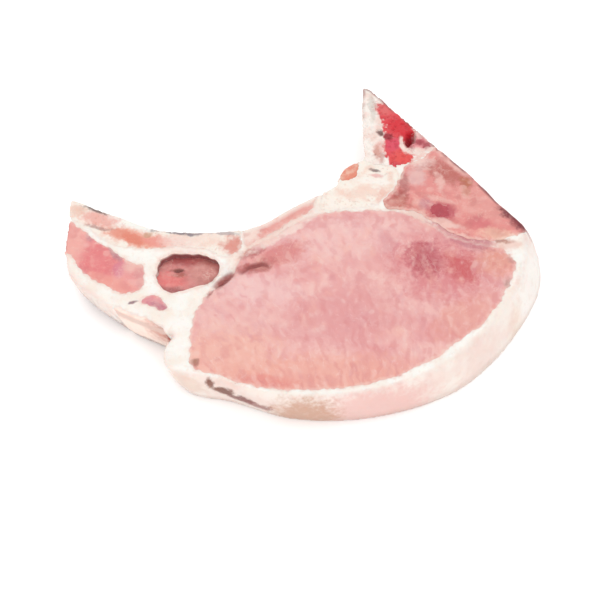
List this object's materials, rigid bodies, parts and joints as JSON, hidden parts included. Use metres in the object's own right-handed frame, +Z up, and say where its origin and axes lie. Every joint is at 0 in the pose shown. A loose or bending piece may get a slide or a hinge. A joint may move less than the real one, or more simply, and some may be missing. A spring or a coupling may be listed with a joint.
{
  "type": "raw pork rib chop",
  "caption": "Raw bone-in pork rib chop: a flat slice of pale pink loin rimmed with white fat, with a curved rib and flank meat at one end and a wedge of red-marrowed backbone at the other.",
  "frame": {"origin": "middle of the underside: the centre of the bounding box, on the plane that the chop rests on", "axes": "+Z up out of the upper cut face, +X along the chop from the rib's tip to the back fat, +Y towards the backbone"},
  "size_m": [0.1556, 0.1318, 0.0165],
  "materials": {
    "fat": "moist white fat, satin, tinted tan and pink on the outer rim",
    "loin": "moist pale pink muscle with a fine mosaic of fibre bundles",
    "back_muscle": "moist pinkish-brown muscle, streaked with fat",
    "flank_muscle": "moist rosy muscle with pale threads",
    "dark_muscle": "moist dark pink muscle",
    "vein": "wet dark red",
    "marrow": "wet spongy red marrow in a pale shell of bone",
    "bone": "moist cream bone, mottled with pink marrow",
    "joint": "wet orange-red joint face"
  },
  "bodies": {
    "root": {"fat": "fat", "loin_eye": "loin", "chine_bone": "marrow", "back_vein": "vein", "chine_muscle": "back_muscle", "rib_muscle": "back_muscle", "flank_sheet": "back_muscle", "rib_joint": "joint", "rib_head": "bone", "rib_bone": "bone", "flank_muscle": "flank_muscle", "flank_sliver": "flank_muscle", "rib_eye_muscle": "dark_muscle"}
  },
  "joints": []
}
